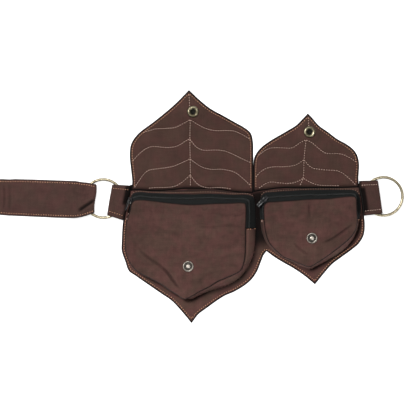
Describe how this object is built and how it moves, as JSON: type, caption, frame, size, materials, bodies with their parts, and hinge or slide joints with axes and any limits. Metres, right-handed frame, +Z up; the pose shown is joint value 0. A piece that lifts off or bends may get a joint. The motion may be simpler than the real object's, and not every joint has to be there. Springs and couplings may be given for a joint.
{
  "type": "pocket waist belt",
  "caption": "Cloth waist belt with leaf-shaped zip pockets under open stitched flaps, snap studs, a brass ring on a tab at each end and a strap folded through the left ring",
  "frame": {"origin": "middle of the bounding box on the surface that the belt lies on", "axes": "+X along the belt towards the end with the free ring, +Y towards the tips of the open flaps, +Z up from the surface"},
  "size_m": [0.4728, 0.2676, 0.0253],
  "materials": {
    "cloth": "dark chocolate brown woven cotton",
    "zip_tape": "greenish black woven tape and nylon coil",
    "zip_metal": "black lacquered zip slider and pull",
    "ring_brass": "pale antique brass wire, satin",
    "snap_brass": "aged brass snap socket with a dark eye",
    "stud_pewter": "aged pewter snap stud"
  },
  "bodies": {
    "root": {"backing": "cloth", "large_flap": "cloth", "large_flap_snap": "snap_brass", "large_hem": "cloth", "large_zip_back_tape": "zip_tape", "large_zip_front_tape": "zip_tape", "large_zip_coil": "zip_tape", "large_zip_slider": "zip_metal", "large_gusset": "cloth", "large_front": "cloth", "large_front_snap": "stud_pewter", "small_flap": "cloth", "small_flap_snap": "snap_brass", "small_hem": "cloth", "small_zip_back_tape": "zip_tape", "small_zip_front_tape": "zip_tape", "small_zip_coil": "zip_tape", "small_zip_slider": "zip_metal", "small_gusset": "cloth", "small_front": "cloth", "small_front_snap": "stud_pewter", "left_tab": "cloth", "right_tab": "cloth", "left_ring": "ring_brass", "right_ring": "ring_brass", "strap": "cloth"},
    "large_pull": {"large_zip_pull": "zip_metal"},
    "small_pull": {"small_zip_pull": "zip_metal"}
  },
  "joints": [
    {"name": "large_pull_hinge", "type": "hinge", "parent": "root", "child": "large_pull", "pos_m": [-0.07818, 0.00688, 0.01261], "axis": [-0.4299, 0.179, -0.8849], "range_deg": [0, 150]},
    {"name": "small_pull_hinge", "type": "hinge", "parent": "root", "child": "small_pull", "pos_m": [0.07618, 0.00879, 0.01325], "axis": [-0.6329, 0.5871, -0.5048], "range_deg": [0, 150]}
  ]
}
